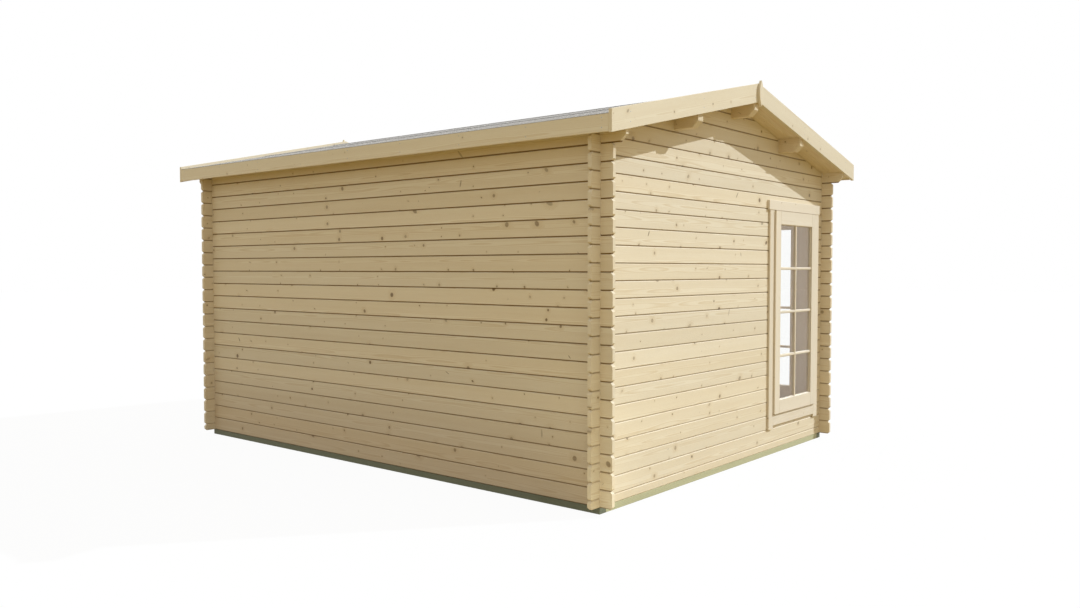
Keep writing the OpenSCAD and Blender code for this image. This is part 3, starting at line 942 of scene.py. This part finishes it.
clout_rows = []
for side_name, side in slope_sides.items():
    strips = bmesh.new()
    lower = steps_between(side * felt_lap_start, side * felt_reach, felt_grid)
    upper = steps_between(side * felt_ridge_gap, side * felt_lap_end, felt_grid)
    thin_sheet(strips, sorted(lower), felt_ys, felt_level(on_roof), felt_thick)
    thin_sheet(strips, sorted(upper), felt_ys, felt_level(over_lap), felt_thick)
    under = f"{side_name}_roof_felt"
    piece(f"{side_name}_felt_strips", strips, felt_finish, "felt", under, smooth_angle=edge_angle)
    front_y = felt_low.y + clout_inset
    back_y = felt_high.y - clout_inset
    for edge_x, lift in (
        (felt_reach, on_roof),
        (felt_lap_end, over_lap),
        (felt_cap_half, over_both),
    ):
        clout_rows += clouts(side * (edge_x - clout_inset), front_y, back_y, lift)

cap = bmesh.new()
thin_sheet(
    cap,
    steps_between(-felt_cap_half, felt_cap_half, felt_cap_half / 4),
    felt_ys,
    felt_level(over_both),
    felt_thick,
)
piece("felt_ridge_cap", cap, felt_finish, "felt", smooth_angle=edge_angle)
clout_heads = bmesh.new()
nail_heads(clout_heads, clout_rows, clout_radius, clout_rise)
piece("felt_clout_nails", clout_heads, zinc_finish, "felt", smooth_angle=round_angle)


# Fascias, barge boards and finials: planed spruce boards that close the edges of the roof. The
# fascias are nailed to the ends of the roof boards, the barge boards to the eave logs and purlins,
# and a leaf-shaped finial covers the joint of two barge boards.
edge_pale = (0.780, 0.710, 0.575, 1.0)
edge_late = (0.650, 0.535, 0.365, 1.0)
edge_wood = {"ring_width": 0.0027, "knot_share": 0.30, "knot_radius": 0.011, "relief": 0.0005}
edge_ease = 0.002
brad_radius = 0.0035
brad_rise = 0.0006
brad_spread = 0.03
fascia_brad_step = 0.60
fascia_brad_inset = 0.05
barge_brad_inset = 0.06
purlin_half = 0.035
log_half = 0.014
finial_brad_shares = (0.3, 0.7)
edge_finish = timber_finish("roof edge spruce", (edge_pale, edge_late, log_knot), **edge_wood)
for side_name, side in slope_sides.items():
    eased_timbers(f"{side_name}_fascia", edge_finish, "board", edge_ease)
    for end in ("front", "back"):
        barge = f"{end}_{side_name}_barge"
        eased_timbers(barge, edge_finish, "board", edge_ease, down_slope[side])
for end in ("front", "back"):
    eased_timbers(f"{end}_finial", edge_finish, "board", edge_ease)

brad_places = []
gable_ends = (("front", -1), ("back", 1))
purlin_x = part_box("middle_purlins")[1].x - purlin_half
for side_name, side in slope_sides.items():
    low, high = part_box(f"{side_name}_fascia")
    face_x = high.x if side > 0 else low.x
    middle_z = (low.z + high.z) / 2
    first_y = low.y + fascia_brad_inset
    last_y = high.y - fascia_brad_inset
    for y in steps_between(first_y, last_y, fascia_brad_step):
        for z in (middle_z - brad_spread, middle_z + brad_spread):
            brad_places.append((Vector((face_x, y, z)), Vector((side, 0, 0))))
    for end, end_sign in gable_ends:
        low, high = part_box(f"{end}_{side_name}_barge")
        face_y = low.y if end_sign < 0 else high.y
        barge_reach = max(abs(low.x), abs(high.x))
        barge_rise = high.z - low.z - roof_slope * barge_reach
        for x in (barge_brad_inset, purlin_x, plate_high.x - log_half):
            level = high.z - roof_slope * x - barge_rise / 2
            for z in (level - brad_spread, level + brad_spread):
                brad_places.append((Vector((side * x, face_y, z)), Vector((0, end_sign, 0))))
for end, end_sign in gable_ends:
    low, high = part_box(f"{end}_finial")
    face_y = low.y if end_sign < 0 else high.y
    for share in finial_brad_shares:
        z = low.z + share * (high.z - low.z)
        brad_places.append((Vector((0.0, face_y, z)), Vector((0, end_sign, 0))))
brads = bmesh.new()
nail_heads(brads, brad_places, brad_radius, brad_rise)
piece("roof_edge_nails", brads, zinc_finish, "board", smooth_angle=round_angle)


# Window: a single sash of planed spruce in a frame let into the logs, with trim boards nailed on
# round it, outside and inside. Bars on both faces of the glass divide it into two by four panes,
# and quarter-round beads hold it in.
joinery_pale = (0.800, 0.735, 0.640, 1.0)
joinery_late = (0.680, 0.580, 0.445, 1.0)
joinery_knot = (0.230, 0.140, 0.065, 1.0)
joinery_wood = {"ring_width": 0.0021, "knot_share": 0.22, "knot_radius": 0.006, "relief": 0.0004}
joinery_ease = 0.0022
bar_half = 0.011
bar_chamfer = 0.004
bar_rise = 0.013
bead_width = 0.006
bead_steps = 4
pane_rows = 4
groove_bite = 0.0097
glass_tint = (0.985, 0.990, 0.985, 1.0)
glass_index = 1.28
glass_dust = 14.0
dust_edges = (0.55, 0.85)
dust_roughness = 0.008
glass_ripple = 3.0
ripple_strength = 0.05
ripple_depth = 0.002
sash_line = 0.006
sash_line_shade = (0.46, 0.37, 0.26, 1.0)
joinery_tints = (joinery_pale, joinery_late, joinery_knot)
joinery_finish = timber_finish("joinery spruce", joinery_tints, **joinery_wood)


def painted_sash_shadow(tree):
    """Painted shadow of the narrow gap over and under the sash, dark at its edge and white inside
    it.
    """
    low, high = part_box("window_stiles")
    height = node(tree, "SeparateXYZ", {0: object_place(tree)}).outputs["Z"]
    over_foot = maths(tree, "SUBTRACT", height, low.z)
    under_head = maths(tree, "SUBTRACT", high.z, height)
    inside = maths(tree, "MINIMUM", over_foot, under_head)
    return blend(tree, fade(tree, inside, 0.0, sash_line), sash_line_shade, white)


# The sash's top and bottom edges carry a painted shadow line, where the gap to the frame falls
# dark.
sash_finish = timber_finish("sash spruce", joinery_tints, edges=painted_sash_shadow, **joinery_wood)

glass_finish, tree = new_finish("window glass")
place = object_place(tree)
film = node(tree, "TexNoise", {"Vector": place, "Scale": glass_dust, "Detail": 5.0}).outputs[0]
ripple = node(tree, "TexNoise", {"Vector": place, "Scale": glass_ripple, "Detail": 1.0})
bump = node(
    tree,
    "Bump",
    {"Strength": ripple_strength, "Distance": ripple_depth, "Height": ripple.outputs[0]},
)
dust = fade(tree, film, *dust_edges)
pane_shader = node(
    tree,
    "BsdfPrincipled",
    {
        "Base Color": glass_tint,
        "Roughness": maths(tree, "MULTIPLY", dust, dust_roughness),
        "IOR": glass_index,
        "Transmission Weight": 1.0,
        "Normal": bump.outputs[0],
    },
)
clear = node(tree, "BsdfTransparent", {"Color": glass_tint})
glass_mix = node(
    tree,
    "MixShader",
    {
        0: node(tree, "LightPath").outputs["Is Shadow Ray"],
        1: pane_shader.outputs[0],
        2: clear.outputs[0],
    },
)
node(tree, "OutputMaterial", {"Surface": glass_mix.outputs[0]})


def moulding(mesh, stand, section, start, end):
    """Strip with one section from start to end, both in the plane of a pane. The section's points
    go sideways and out from the glass; stand takes across, up and out into the cabin's frame."""
    start = Vector((*start, 0.0))
    end = Vector((*end, 0.0))
    along = (end - start).normalized()
    sideways = along.cross(Vector((0, 0, 1)))
    offsets = [sideways * side + Vector((0, 0, out)) for side, out in section]
    rings = [
        [mesh.verts.new(stand @ (spot + offset)) for offset in offsets] for spot in (start, end)
    ]
    loft(mesh, rings)


def glazing(mesh, low, high, out_axis):
    """Bars and beads on both faces of a pane, whose corners lie in the grooves of its leaf."""
    across_axis = Vector((0, 0, 1)).cross(out_axis)
    middle = (low + high) / 2
    half_thick = abs((high - low).dot(out_axis)) / 2
    half_wide = abs((high - low).dot(across_axis)) / 2 - groove_bite
    half_high = (high.z - low.z) / 2 - groove_bite
    bar_section = [
        (-bar_half, 0.0),
        (bar_half, 0.0),
        (bar_half, bar_rise - bar_chamfer),
        (bar_half - bar_chamfer, bar_rise),
        (bar_chamfer - bar_half, bar_rise),
        (-bar_half, bar_rise - bar_chamfer),
    ]
    quarter = [math.pi / 2 * step / bead_steps for step in range(bead_steps + 1)]
    bead_section = [(0.0, 0.0)]
    bead_section += [(bead_width * math.cos(a), bead_width * math.sin(a)) for a in quarter]
    for face in (-1, 1):
        out = out_axis * face
        aside = Vector((0, 0, 1)).cross(out)
        turn = Matrix((aside, Vector((0, 0, 1)), out)).transposed().to_4x4()
        stand = Matrix.Translation(middle + out * half_thick) @ turn
        moulding(mesh, stand, bar_section, (0.0, -half_high), (0.0, half_high))
        for row in range(1, pane_rows):
            z = half_high * (2 * row / pane_rows - 1)
            moulding(mesh, stand, bar_section, (-half_wide, z), (-bar_half, z))
            moulding(mesh, stand, bar_section, (bar_half, z), (half_wide, z))
        corners = [
            (-half_wide, -half_high),
            (-half_wide, half_high),
            (half_wide, half_high),
            (half_wide, -half_high),
        ]
        for start, end in zip(corners, corners[1:] + corners[:1]):
            moulding(mesh, stand, bead_section, start, end)


def node_solids(node_name):
    """Corners of the box round each solid of a node."""
    mesh = node_mesh(node_name)
    boxes = []
    for solid in solids(mesh):
        places = [vert.co for vert in solid]
        low = Vector([min(place[axis] for place in places) for axis in range(3)])
        high = Vector([max(place[axis] for place in places) for axis in range(3)])
        boxes.append((low, high))
    mesh.free()
    return boxes


for timbers in ("jambs", "head_and_sill", "side_trims", "head_trims", "aprons"):
    eased_timbers("window_" + timbers, joinery_finish, "joinery", joinery_ease)
for timbers in ("stiles", "rails"):
    eased_timbers("window_" + timbers, sash_finish, "joinery", joinery_ease)
give_finish("window_glass", glass_finish)
window_bars = bmesh.new()
for low, high in node_solids("window_glass"):
    glazing(window_bars, low, high, Vector((0, -1, 0)))
mark_grain(window_bars)
piece("window_glazing_bars", window_bars, joinery_finish, "joinery")


# Door: two leaves of the same joinery as the sash, glazed above a plain panel, in a frame with a
# low threshold. Each leaf hangs on three barrel hinges, and the first to open has lever handles.
steel_pale = (0.60, 0.60, 0.59, 1.0)
steel_dark = (0.40, 0.40, 0.395, 1.0)
steel_brushing = (900.0, 900.0, 30.0)
steel_roughness = (0.2, 0.25)
steel_relief = 0.0001
round_sides = 20
hinge_radius = 0.007
hinge_length = 0.075
hinge_gap = 0.002
hinge_knob = ((0.001, 0.6), (0.004, 0.85), (0.007, 0.6), (0.009, 0.15))
hinge_heights = (0.30, 1.05, 1.80)
hinge_aside = hinge_radius * 0.6
hinge_sunk = hinge_radius * 0.5
stile_half = 0.0475
handle_height = 1.05
plate_size = (0.038, 0.215, 0.003)
plate_taper = 0.985
lever_rise = 0.02
lever_radius = 0.0085
lever_stand = 0.050
lever_straight = 0.6
lever_bend = 0.018
lever_bend_steps = 6
lever_length = 0.118
lever_tip = 0.004
lever_tip_share = 0.6
collar = ((0.0, 0.014), (0.008, 0.014), (0.0085, 0.011))
key_drop = 0.072
key_radius = 0.0085
key_barrel = ((0.0, key_radius), (0.006, key_radius), (0.0065, key_radius * 0.8))
steel_finish, tree = new_finish("brushed steel")
brushed = vectors(tree, "MULTIPLY", object_place(tree), steel_brushing)
scratches = node(tree, "TexNoise", {"Vector": brushed, "Scale": 1.0, "Detail": 2.0}).outputs[0]
color = blend(tree, scratches, steel_dark, steel_pale)
roughness = maths(tree, "MULTIPLY_ADD", scratches, *steel_roughness)
surface(tree, color, roughness, scratches, steel_relief, metallic=1.0)


def tube(mesh, path, radii):
    """Closed round bar along a path of points, with a radius at each point."""
    rings = []
    last = len(path) - 1
    for index, (point, radius) in enumerate(zip(path, radii)):
        along = (path[min(index + 1, last)] - path[max(index - 1, 0)]).normalized()
        if rings:
            side = (side - along * side.dot(along)).normalized()
        else:
            side = along.orthogonal().normalized()
        up = along.cross(side)
        ring = []
        for step in range(round_sides):
            angle = 2 * math.pi * step / round_sides
            spoke = math.cos(angle) * side + math.sin(angle) * up
            ring.append(mesh.verts.new(point + radius * spoke))
        rings.append(ring)
    loft(mesh, rings)


def lathe(mesh, foot, axis, profile):
    """Round piece along an axis from its foot; the profile gives rises and radii."""
    tube(mesh, [foot + axis * rise for rise, _ in profile], [radius for _, radius in profile])


def hinge(mesh, foot):
    """Barrel of two knuckles with a gap between them and a turned knob at each end."""
    half = hinge_length / 2
    for barrel, sign in ((half - hinge_gap / 2, 1), (half + hinge_gap / 2, -1)):
        profile = [(0.0, hinge_radius), (barrel, hinge_radius)]
        profile += [(barrel + rise, share * hinge_radius) for rise, share in hinge_knob]
        base = foot + Vector((0, 0, half + sign * hinge_gap / 2))
        lathe(mesh, base, Vector((0, 0, sign)), profile)


def lever_handle(mesh, middle, out, towards):
    """Long plate with a lever and a key barrel; the lever points along towards."""
    wide, tall, thick = plate_size
    across = out.cross(Vector((0, 0, 1)))
    outline = []
    for end, first in ((1, 0.0), (-1, math.pi)):
        for step in range(round_sides // 2 + 1):
            angle = first + math.pi * step / (round_sides // 2)
            outline.append(
                across * (wide / 2 * math.cos(angle))
                + Vector((0, 0, end * (tall - wide) / 2 + wide / 2 * math.sin(angle)))
            )
    back = [mesh.verts.new(middle + spot) for spot in outline]
    front = [mesh.verts.new(middle + spot * plate_taper + out * thick) for spot in outline]
    loft(mesh, [back, front])
    root = middle + Vector((0, 0, lever_rise))
    elbow = root + out * lever_stand
    path = [root, root + out * (lever_stand * lever_straight)]
    for step in range(1, lever_bend_steps + 1):
        angle = math.pi / 2 * step / lever_bend_steps
        short_of_elbow = out * lever_bend * (1 - math.sin(angle))
        path.append(elbow - short_of_elbow + towards * lever_bend * (1 - math.cos(angle)))
    path.append(elbow + towards * lever_length)
    path.append(elbow + towards * (lever_length + lever_tip))
    tube(mesh, path, [lever_radius] * (len(path) - 1) + [lever_radius * lever_tip_share])
    lathe(mesh, root, out, collar)
    lathe(mesh, middle - Vector((0, 0, key_drop)), out, key_barrel)


for timbers in (
    "jambs", "head", "threshold", "stiles", "rails", "panels", "side_trims", "head_trims"
):
    eased_timbers("door_" + timbers, joinery_finish, "joinery", joinery_ease)
give_finish("door_glass", glass_finish)
door_bars = bmesh.new()
for low, high in node_solids("door_glass"):
    glazing(door_bars, low, high, Vector((1, 0, 0)))
mark_grain(door_bars)
piece("door_glazing_bars", door_bars, joinery_finish, "joinery")

leaf_low, leaf_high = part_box("door_stiles")
hinges = bmesh.new()
for edge_y in (leaf_low.y - hinge_aside, leaf_high.y + hinge_aside):
    for hinge_z in hinge_heights:
        hinge(hinges, Vector((leaf_high.x - hinge_sunk, edge_y, hinge_z)))
piece("door_hinges", hinges, steel_finish, "joinery", smooth_angle=round_angle)

handle_y = (leaf_low.y + leaf_high.y) / 2 - stile_half
handles = bmesh.new()
for face_x, out_sign in ((leaf_high.x, 1), (leaf_low.x, -1)):
    middle = Vector((face_x, handle_y, handle_height))
    lever_handle(handles, middle, out=Vector((out_sign, 0, 0)), towards=Vector((0, -1, 0)))
piece("door_handles", handles, steel_finish, "joinery", smooth_angle=round_angle)
